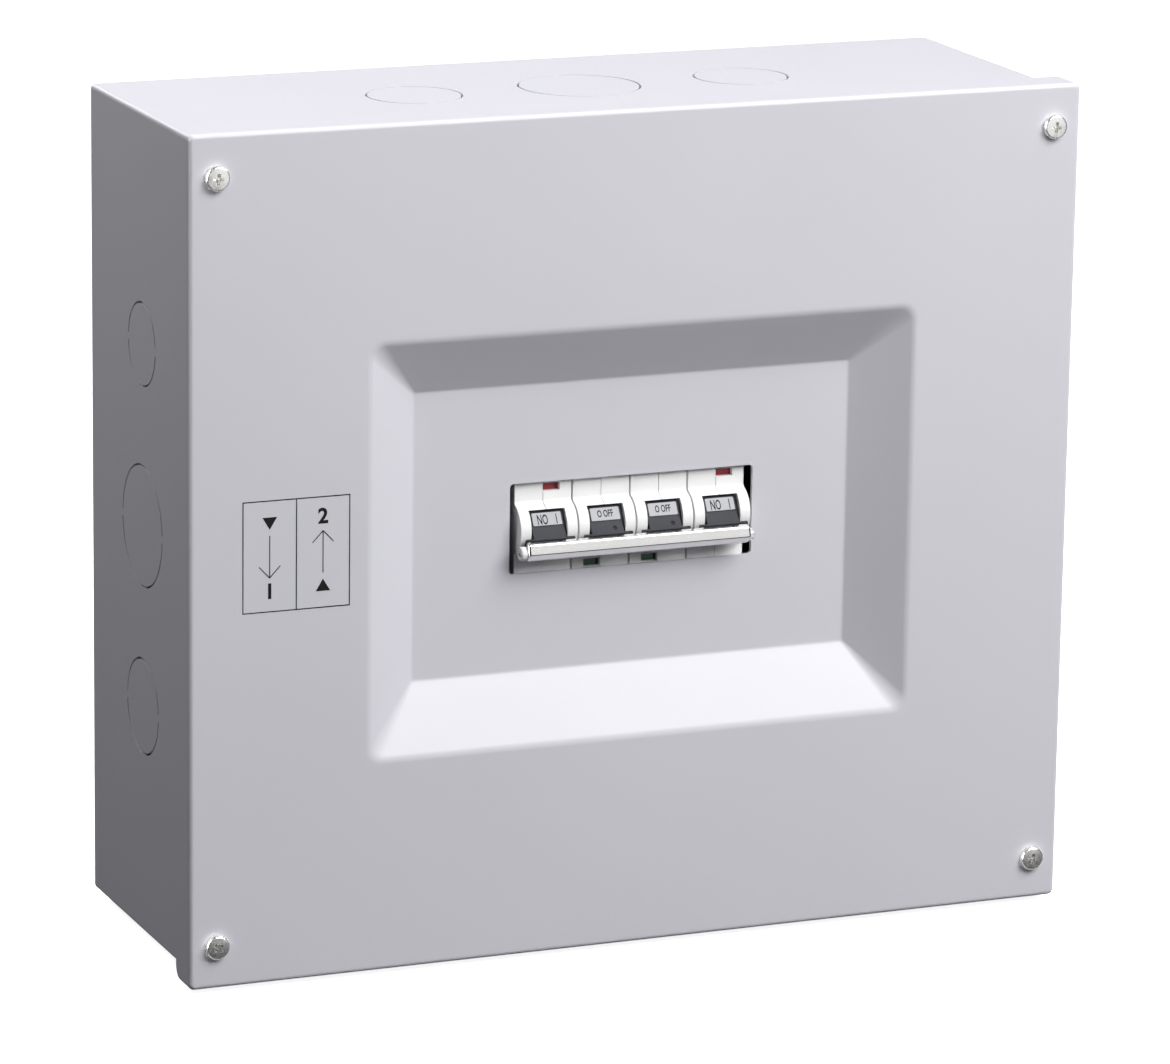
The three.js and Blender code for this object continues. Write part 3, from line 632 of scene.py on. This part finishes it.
def pole_row_tree():
    """One piece for each pole of a row; the outer poles are turned upside down."""
    tree, start, end = new_tree("row_of_poles", [
        ("Count", "Int"), ("Pitch", "Float"), ("Centre", "Vector"), ("Tilt", "Float"),
        ("Finish", "Material"),
    ])
    step = add(tree, "ShaderNodeCombineXYZ", None, X=(start, "Pitch"))
    gaps = add(tree, "ShaderNodeMath", {"operation": "SUBTRACT", 1: 1.0}, Value=(start, "Count"))
    back = add(tree, "ShaderNodeMath", {"operation": "MULTIPLY", 1: -0.5}, Value=(gaps, "Value"))
    first = add(
        tree, "ShaderNodeVectorMath", {"operation": "SCALE"},
        Vector=(step, "Vector"), Scale=(back, "Value"),
    )
    line = add(
        tree, "GeometryNodeMeshLine", {"mode": "OFFSET"},
        Count=(start, "Count"), Start_Location=(first, "Vector"), Offset=(step, "Vector"),
    )
    index = add(tree, "GeometryNodeInputIndex")
    half = add(tree, "ShaderNodeMath", {"operation": "MULTIPLY", 1: 0.5}, Value=(gaps, "Value"))
    away = add(tree, "ShaderNodeMath", {"operation": "SUBTRACT"}, Value=(index, "Index"))
    tree.links.new(half.outputs["Value"], away.inputs[1])
    reach = add(tree, "ShaderNodeMath", {"operation": "ABSOLUTE"}, Value=(away, "Value"))
    outer = add(tree, "ShaderNodeMath", {"operation": "GREATER_THAN", 1: 1.0}, Value=(reach, "Value"))
    turn = add(tree, "ShaderNodeMath", {"operation": "MULTIPLY", 1: math.pi}, Value=(outer, "Value"))
    about = add(tree, "ShaderNodeCombineXYZ", None, Y=(turn, "Value"))
    copies = add(
        tree, "GeometryNodeInstanceOnPoints", None,
        Points=(line, "Mesh"), Instance=(start, "Geometry"), Rotation=(about, "Vector"),
    )
    lean = add(tree, "ShaderNodeCombineXYZ", None, X=(start, "Tilt"))
    placed = add(
        tree, "GeometryNodeTransform", None,
        Geometry=(copies, "Instances"), Translation=(start, "Centre"), Rotation=(lean, "Vector"),
    )
    finish_tree(tree, start, end, placed, "Geometry")
    return tree


SCREWS_TREE = corner_screws_tree()
ROW_TREE = pole_row_tree()


def along_row(piece, finish, tilt=0.0):
    """Repeats a piece, made about the pivot's own frame, for all four poles."""
    run_tree(piece, ROW_TREE, {
        "Count": len(POLES), "Pitch": PITCH * MM, "Centre": PIVOT * MM,
        "Tilt": math.radians(tilt), "Finish": finish,
    })


# ---- screws ----
def cross_bar(turned, reach, width, depth, top):
    """One bar of a cross recess, narrowing downwards, seen from -Y."""
    bm = bmesh.new()
    rows = []
    for y, share in ((top - 0.5, 1.0), (top + depth, 0.6)):
        far, side = reach * share, width / 2 * share
        corners = [(-far, -side), (far, -side), (far, side), (-far, side)]
        rows.append([(b, y, a) if turned else (a, y, b) for a, b in corners])
    skin(bm, rows, True, True)
    return to_object("cross_bar", bm)


def pan_screw(name, radius, height, shank, length):
    """A pan head with its underside at y = 0 and its shank behind it."""
    bm = bmesh.new()
    edge = 0.17 * radius
    wall = 0.45 * height
    profile = [(radius, 0.0), (radius, -wall)]
    for i in range(1, 7):
        t = math.pi / 2 * i / 6
        rise = (0.95 * height - wall) * math.sin(t)
        profile.append((radius - edge * (1 - math.cos(t)), -wall - rise))
    profile.append((radius * 0.2, -height))
    start = [(shank, length), (shank, 0.0)]
    spin_profile(bm, start + profile)
    piece = to_object(name, bm)
    for turned in (False, True):
        boolean(piece, cross_bar(turned, radius * 0.48, radius * 0.3, height * 0.95, -height))
    return piece


def make_cover_screws():
    """One screw, repeated at the four corners."""
    piece = pan_screw("cover_screws", 3.65, 1.7, 1.9, 8.5)
    run_tree(piece, SCREWS_TREE, {
        "Width": 2 * SCREW_X * MM, "Height": 2 * SCREW_Z * MM,
        "Centre": Vector((0, (FACE - 0.05) * MM, 0)),
        "Turn": math.radians(8.0), "First Turn": math.radians(45.0), "Finish": NICKEL,
    })
    even_shading(piece, 40.0)
    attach(piece, "enclosure")
    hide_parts(*["cover_screw_%d" % n for n in (1, 2, 3, 4)])


# ---- breaker poles: made about the pivot, front towards -Y ----
def case_outline():
    """Side view of a case from its seat on the rail, over the arched nose."""
    flat = -2.0
    blend = 1.2
    centre = flat - blend
    reach = ARCH + blend
    up = math.sqrt(reach ** 2 - centre ** 2)
    angle = math.degrees(math.atan2(up, -centre))
    points = [(SHOULDER, -CASE_HALF), (SHOULDER, -NOSE), (flat, -NOSE)]
    points += arc(centre, -up, blend, 0.0, angle, 8)
    points += [(-a, b) for a, b in arc(0, 0, ARCH, -angle, angle, 36)]
    points += arc(centre, up, blend, -angle, 0.0, 8)
    points += [(flat, NOSE), (SHOULDER, NOSE), (SHOULDER, CASE_HALF), (SEAT + 2, CASE_HALF)]
    points += [(SEAT + 2, RAIL_HALF), (SEAT, RAIL_HALF), (SEAT, -RAIL_HALF)]
    points += [(SEAT + 1.3, -RAIL_HALF), (SEAT + 1.3, -CASE_HALF)]
    return points


def window_cutter(side):
    """The toggle's window, in the half on one side of the pole's seam."""
    bm = bmesh.new()
    low, high = sorted((side * -1.0, side * WINDOW))
    box(bm, (low, -12.0, -WINDOW_HALF_HEIGHT), (high, 2.0, WINDOW_HALF_HEIGHT))
    return to_object("window_cutter", bm)


def hollow_case(half, side):
    """Takes out the room for the moving and live pieces, and adds the contact arm's stub."""
    nose, top = NOSE - CASE_WALL, CASE_HALF - CASE_WALL
    front, back = SHOULDER + CASE_WALL, SEAT - CASE_WALL
    room = [(-0.4, -nose), (front, -nose), (front, -top), (back, -top)]
    room += [(y, -z) for y, z in reversed(room)]
    drum_room = arc(0, 0, DRUM + 0.6, 0, 352, 44)
    for name, outline, reach in (
        ("room", room, HALF_POLE - CASE_WALL),
        ("drum_room", drum_room, WINDOW + 0.1),
    ):
        bm = bmesh.new()
        prism(bm, outline, *sorted((side * -1.0, side * reach)))
        boolean(half, to_object(name, bm))
    bore(half, (0, 0), PIN_BORE, HALF_POLE - 0.3)
    for end in (-1, 1):
        bm = bmesh.new()
        z = sorted((end * (CASE_HALF - 3.5), end * (CASE_HALF + 3.5)))
        x = sorted((side * -1.0, side * 4.2))
        box(bm, (x[0], MOUTH_Y - 4, z[0]), (x[1], MOUTH_Y + 4, z[1]))
        boolean(half, to_object("wire_mouth", bm))
    if side < 0:
        bm = bmesh.new()
        prism(bm, arc(*ARM_PIVOT, 1.0, 0, 345, 23), 1 - HALF_POLE, 2.4)
        boolean(half, to_object("arm_stub", bm), "UNION")


def make_cases():
    """Both halves of one pole's case, cut for the window, then repeated along the row."""
    halves = []
    for side in (-1, 1):
        bm = bmesh.new()
        low, high = sorted((side * 0.08, side * (HALF_POLE - 0.12)))
        prism(bm, case_outline(), low, high)
        half = to_object("case_half", bm)
        boolean(half, window_cutter(side))
        if side < 0:
            bm = bmesh.new()
            (left, foot), (right, top) = NOTCH
            box(bm, (left, -4.0, foot), (right, 0.5, top))
            boolean(half, to_object("notch_cutter", bm))
        bevel(half, 0.45, 3, 32.0)
        hollow_case(half, side)
        halves.append(half)
    piece = merge("pole_cases", halves)
    along_row(piece, CASE)
    even_shading(piece, 40.0)
    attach(piece, "enclosure")
    names = ["pole_%d_case_%s" % (n, side) for n in POLES for side in ("left", "right")]
    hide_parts(*names)


def merge(name, pieces):
    """One object from several."""
    bm = bmesh.new()
    for piece in pieces:
        bm.from_mesh(piece.data)
        bpy.data.objects.remove(piece)
    bmesh.ops.remove_doubles(bm, verts=bm.verts, dist=0.0001 * MM)
    mesh = bpy.data.meshes.new(name)
    bm.to_mesh(mesh)
    bm.free()
    made = bpy.data.objects.new(name, mesh)
    bpy.context.scene.collection.objects.link(made)
    return made


def make_toggles():
    """Drum, lever and wide tip, with the lever along -Y, then repeated and tilted down."""
    bm = bmesh.new()
    label = math.radians(LABEL_ANGLE)
    drum = []
    for i in range(72):
        t = math.radians(5 * i)
        y, z = -DRUM * math.cos(t), DRUM * math.sin(t)
        for way in (1, -1):
            ny, nz = -math.cos(label), way * math.sin(label)
            over = y * ny + z * nz - LABEL_FLAT
            if over > 0:
                y, z = y - over * ny, z - over * nz
        drum.append((y, z))
    prism(bm, drum, -5.2, 5.2)
    body = to_object("toggles", bm)
    bm = bmesh.new()
    lever = [(-3.0, 3.7), (-3.0, -3.7), (-5.0, -3.7), (-8.4, -2.2), (-8.4, 2.2), (-5.0, 3.7)]
    prism(bm, lever, -5.0, 5.0)
    boolean(body, to_object("lever_part", bm), "UNION")
    bm = bmesh.new()
    prism(bm, [(-8.0, 2.2), (-8.0, -2.2), (-8.8, -2.2), (-8.8, 2.2)], -7.6, 7.6)
    boolean(body, to_object("lip_part", bm), "UNION")
    bm = bmesh.new()
    tip = [(-8.4, 1.3), (-8.4, -1.3), (-10.4, -1.3), (-11.1, -0.6), (-11.1, 0.6), (-10.4, 1.3)]
    prism(bm, tip, -6.7, 6.7)
    boolean(body, to_object("tip_part", bm), "UNION")
    bm = bmesh.new()
    bmesh.ops.create_uvsphere(bm, u_segments=20, v_segments=12, radius=0.75)
    bmesh.ops.translate(bm, verts=bm.verts, vec=(2.4, -7.0, 3.05))
    boolean(body, to_object("dimple_cutter", bm))
    bevel(body, 0.2, 2, 32.0)
    for centre, radius in (((0, 0), PIN_BORE), (TIE, ROD_BORE), ((TIE[0], -TIE[1]), ROD_BORE)):
        bore(body, centre, radius, 9.0)
    along_row(body, LEVER, TILT)
    even_shading(body, 40.0)
    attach(body, "handle")
    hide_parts(*["pole_%d_toggle" % n for n in POLES])


def label_frame(way, lift):
    """Turns (x, up, out) on a label plate into the pivot's frame; way is 1 above and -1 below."""
    t = math.radians(LABEL_ANGLE) * way
    out = Vector((0, -math.cos(t), math.sin(t)))
    up = Vector((0, math.sin(t), math.cos(t)))
    across = Vector((1, 0, 0))
    turn = Matrix((across, up, out)).transposed().to_4x4()
    return Matrix.Translation(out * lift) @ turn


def make_label_plates():
    """The light plates, two on every toggle, that carry its marks."""
    bm = bmesh.new()
    for way in (1, -1):
        outline = loop_outline(*PLATE_HALF, 0.3, 0.0, 4)
        place = label_frame(way, LABEL_FLAT + 0.02)
        skin(bm, [[place @ Vector((x, z, lift)) for x, z in outline]
                  for lift in (0.0, PLATE_THICKNESS)], True, True)
    piece = to_object("label_plates", bm)
    bevel(piece, 0.06, 2, 40.0)
    along_row(piece, PLATE, TILT)
    even_shading(piece, 30.0)
    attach(piece, "handle")


def text_mesh(words, size_mm, place, weight_mm, stretch=1.0):
    """Printed characters as a thin solid, centred on place; place's z points out of the surface."""
    curve = bpy.data.curves.new("print", "FONT")
    curve.body = words
    curve.size = size_mm
    curve.align_x = "CENTER"
    curve.align_y = "CENTER"
    curve.extrude = PRINT_THICKNESS / 2
    curve.offset = weight_mm
    curve.resolution_u = 3
    holder = bpy.data.objects.new("print", curve)
    bpy.context.scene.collection.objects.link(holder)
    graph = bpy.context.evaluated_depsgraph_get()
    mesh = bpy.data.meshes.new_from_object(holder.evaluated_get(graph))
    bpy.data.objects.remove(holder)
    lift = Matrix.Translation((0, 0, PRINT_THICKNESS / 2))
    mesh.transform(Matrix.Scale(MM, 4) @ place @ lift @ Matrix.Diagonal((stretch, 1, 1, 1)))
    made = bpy.data.objects.new("print", mesh)
    bpy.context.scene.collection.objects.link(made)
    return made


def make_toggle_marks():
    """The on and off marks of every toggle, one on each of its plates."""
    prints = []
    for way, words, size, stretch in ((1, "O OFF", 3.0, 0.58), (-1, "I    ON", 4.3, 0.5)):
        place = label_frame(way, LABEL_FLAT + 0.28)
        prints.append(text_mesh(words, size, place, 0.05, stretch))
    piece = merge("toggle_marks", prints)
    along_row(piece, INK, TILT)
    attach(piece, "handle")


# ---- tie bar ----
def bar_outline():
    """Section of the bar about the pivot, before the tilt: corners rounded, open towards the pivot."""
    corners = [(-9.1, 2.1, 0.15), (-10.6, 2.4, 0.9), (-12.75, 0.15, 0.75), (-12.35, -2.2, 1.0),
               (-11.5, -3.4, 0.8), (-9.1, -3.45, 0.15)]
    points = []
    count = len(corners)
    for i, (y, z, radius) in enumerate(corners):
        before = Vector(corners[i - 1][:2]) - Vector((y, z))
        after = Vector(corners[(i + 1) % count][:2]) - Vector((y, z))
        angle = before.angle(after)
        back = min(radius / math.tan(angle / 2), before.length * 0.45, after.length * 0.45)
        a = Vector((y, z)) + before.normalized() * back
        b = Vector((y, z)) + after.normalized() * back
        for k in range(6):
            t = k / 5
            curve = a * (1 - t) ** 2 + Vector((y, z)) * 2 * t * (1 - t) + b * t ** 2
            points.append((curve.x, curve.y))
    return points


def tilted(bm):
    """Moves a piece made in the lever's frame to its place on the row."""
    bmesh.ops.transform(bm, matrix=LEVER_FRAME, verts=bm.verts)


def make_tie_bar():
    """Formed strip with closed, rounded ends."""
    bm = bmesh.new()
    outline = bar_outline()
    rows = []
    middle = Vector((-10.8, -0.6))
    ends = [(BAR_HALF - 0.9 * (1 - math.sin(t)), 1 - 0.2 * (1 - math.cos(t)))
            for t in (math.pi / 2 * i / 5 for i in range(6))]
    for sign, sequence in ((-1, ends[::-1]), (1, ends)):
        for x, share in sequence:
            row = [(sign * x, *(middle + (Vector(p) - middle) * share)) for p in outline]
            rows.append(row)
    skin(bm, rows, True, True)
    tilted(bm)
    piece = to_object("tie_bar_strip", bm, STRIP)
    bm = bmesh.new()
    inside = [
        (-8.5, 1.65), (-10.5, 1.75), (-12.0, -0.05), (-11.65, -2.1), (-11.1, -2.75), (-8.5, -2.75),
    ]
    prism(bm, inside, -BAR_HALF + 0.9, BAR_HALF - 0.9)
    tilted(bm)
    boolean(piece, to_object("channel_cutter", bm))
    bore(piece, TIE, ROD_BORE, BAR_HALF + 5, with_tilt=True)
    even_shading(piece, 50.0)
    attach(piece, "handle")
    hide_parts("tie_bar")


def make_tie_rod():
    """The rod through the bar and the levers, with its head on the left."""
    head = pan_screw("tie_rod_head", 2.1, 1.85, 0.8, 71.2)
    head.data.transform(Matrix.Scale(1 / MM, 4))
    turn = Matrix.Translation((-BAR_HALF - 0.15, *TIE)) @ Matrix.Rotation(-math.pi / 2, 4, "Z")
    head.data.transform(Matrix.Scale(MM, 4) @ LEVER_FRAME @ turn)
    head.data.materials.append(NICKEL)
    even_shading(head, 40.0)
    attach(head, "handle")
    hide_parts("tie_rod")


def make_tie_nut():
    """The nut on the right end of the rod."""
    bm = bmesh.new()
    low, high = BAR_HALF + 0.15, BAR_HALF + 1.4
    prism(bm, arc(*TIE, 1.9, 0, 300, 5), low, high)
    tilted(bm)
    piece = to_object("tie_rod_nut", bm, NICKEL)
    bevel(piece, 0.2, 3, 30.0)
    bore(piece, TIE, ROD_BORE, BAR_HALF + 5, with_tilt=True)
    even_shading(piece, 40.0)
    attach(piece, "handle")
    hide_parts("tie_nut")


# ---- printed panel label ----
def flat_strip(bm, x0, x1, z0, z1):
    """An upright or level printed line."""
    box(bm, (x0, FACE - 0.04, z0), (x1, FACE + 0.02, z1))


def flat_shape(bm, corners):
    """A printed patch with the given (x, z) corners."""
    skin(bm, [[(p.x, y, p.y) for p in corners] for y in (FACE - 0.04, FACE + 0.02)], True, True)


def make_panel_label():
    """A ruled frame of two cells, each with an arrow, a small pointer and the number of its supply."""
    left, right = -121.9, -89.8
    low, high = -14.0, 18.4
    middle = (left + right) / 2
    centre = (low + high) / 2
    bm = bmesh.new()
    for x in (left, middle, right):
        flat_strip(bm, x - RULE / 2, x + RULE / 2, low, high)
    for z in (low, high):
        flat_strip(bm, left - RULE / 2, right + RULE / 2, z - RULE / 2, z + RULE / 2)
    cell = (right - left) / 4
    for x, way in ((middle - cell, -1), (middle + cell, 1)):
        tip = centre + way * 6.3
        tail = centre - way * 6.0
        flat_strip(bm, x - PEN / 2, x + PEN / 2, min(tail, tip), max(tail, tip))
        for side in (-1, 1):
            a = Vector((x, tip))
            b = Vector((x + side * 3.2, tip - way * 3.4))
            along = (b - a).normalized() * (PEN / 2)
            across = Vector((-along.y, along.x))
            flat_shape(bm, [a + across, a - across, b - across, b + across])
        foot = centre - way * 9.9
        pointer = [(x - 2.2, foot - way * 1.5), (x + 2.2, foot - way * 1.5), (x, foot + way * 2.1)]
        flat_shape(bm, [Vector(p) for p in pointer])
    prints = [to_object("label_rules", bm)]
    out = Matrix(((1, 0, 0, 0), (0, 0, -1, 0), (0, 1, 0, 0), (0, 0, 0, 1)))
    for x, z, words in ((middle - cell, centre - 10.4, "1"), (middle + cell, centre + 10.4, "2")):
        place = Matrix.Translation((x, FACE - 0.01, z)) @ out
        prints.append(text_mesh(words, 6.2, place, 0.18))
    piece = merge("supply_label", prints)
    piece.data.materials.append(INK)
    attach(piece, "enclosure")


# ---- inner nodes keep their shape and take a finish ----
def finish_inner_nodes():
    finishes = {
        "din_rail": ZINC, "rail_bracket": ZINC, "rail_screw": NICKEL, "neutral_bar": BRASS,
        "ground_bar": BRASS, "neutral_insulator": INSULATOR, "load_jumper": COPPER,
        "pivot_pin": NICKEL, "contact_arm": COPPER, "line_terminal": COPPER,
        "load_terminal": COPPER, "rail_clip": CLIP,
    }
    upright = two_colour_flag("flag_upright", ROW_Z - FLAG_SPLIT_UPRIGHT, False)
    turned = two_colour_flag("flag_turned", ROW_Z + FLAG_SPLIT_TURNED, True)
    for number in POLES:
        finishes["pole_%d_flag" % number] = turned if number in TURNED_POLES else upright
    for name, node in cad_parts.items():
        matches = [finish for key, finish in finishes.items() if key in name]
        if matches:
            node.data.materials.clear()
            node.data.materials.append(matches[0])


# ---- studio ----
def make_camera():
    """A long lens from the front left, a little above."""
    spot = Vector((-689.7, -1723.5, 442.1)) * MM
    azimuth, elevation, roll = 22.483, 14.071, 0.827
    data = bpy.data.cameras.new("camera")
    data.lens = 193.05
    data.sensor_width = 36.0
    data.clip_end = 100.0
    made = bpy.data.objects.new("camera", data)
    bpy.context.scene.collection.objects.link(made)
    turn = Matrix.Rotation(-math.radians(azimuth), 4, "Z")
    turn = turn @ Matrix.Rotation(math.radians(90.0 - elevation), 4, "X")
    turn = turn @ Matrix.Rotation(math.radians(roll), 4, "Z")
    made.matrix_world = Matrix.Translation(spot) @ turn
    bpy.context.scene.camera = made


def area_light(name, spot, target, size, power):
    """A soft box that the camera doesn't see."""
    data = bpy.data.lights.new(name, "AREA")
    data.shape = "RECTANGLE"
    data.size, data.size_y = size
    data.energy = power
    made = bpy.data.objects.new(name, data)
    bpy.context.scene.collection.objects.link(made)
    spot = Vector(spot)
    aim = (Vector(target) - spot).to_track_quat("-Z", "Y")
    made.matrix_world = Matrix.Translation(spot) @ aim.to_matrix().to_4x4()
    made.visible_camera = False
    return made


# name, spot and target in metres, size in metres, power in watts
LIGHTS = (
    ("key_upper_right", (0.70, -1.10, 1.10), (0, 0, 0), (1.2, 1.2), 41.0),
    ("over_the_top", (0.0, 0.5, 1.2), (0, 0, 0.1), (0.8, 0.8), 7.0),
    ("rim_left", (-0.55, 0.12, 0.62), (-0.138, -0.05, 0.05), (0.4, 0.4), 2.3),
)
# seen only as reflections, mostly in the bright metal
REFLECTORS = (
    ("reflector_front_right", (0.56, -1.32, 0.12), (0, 0, 0), (0.9, 1.0), 2.6),
    ("reflector_below", (0.2, -0.2, -0.35), (0.2, -0.2, 0), (1.2, 0.3), 0.5),
    ("reflector_left", (-1.3, -0.55, 0.3), (-0.14, -0.1, 0), (0.25, 1.2), 42.0),
    ("reflector_back", (-0.36, 1.24, 0.65), (-0.13, -0.05, 0.12), (0.5, 0.3), 3.5),
)
FLOOR_REACH = 9000.0


def make_studio():
    """The floor, the lights and a dim world."""
    bm = bmesh.new()
    top, reach = COVER_LOW.z - 2.0, FLOOR_REACH
    box(bm, (-reach, -reach, top - 10.0), (reach, reach, top))
    floor = to_object("studio_floor", bm, studio_floor())
    floor.visible_diffuse = False
    floor.visible_glossy = False
    for light in LIGHTS:
        area_light(*light)
    for card in REFLECTORS:
        area_light(*card).visible_diffuse = False
    world = bpy.data.worlds.new("studio")
    bpy.context.scene.world = world
    world.use_nodes = True
    back = world.node_tree.nodes["Background"]
    back.inputs["Color"].default_value = linear("f2f3fa")
    back.inputs["Strength"].default_value = 0.08
    bpy.context.scene.view_settings.view_transform = "Standard"


make_camera()
make_cover()
make_box()
make_cover_screws()
make_cases()
make_toggles()
make_label_plates()
make_toggle_marks()
make_tie_bar()
make_tie_rod()
make_tie_nut()
make_panel_label()
finish_inner_nodes()
make_studio()
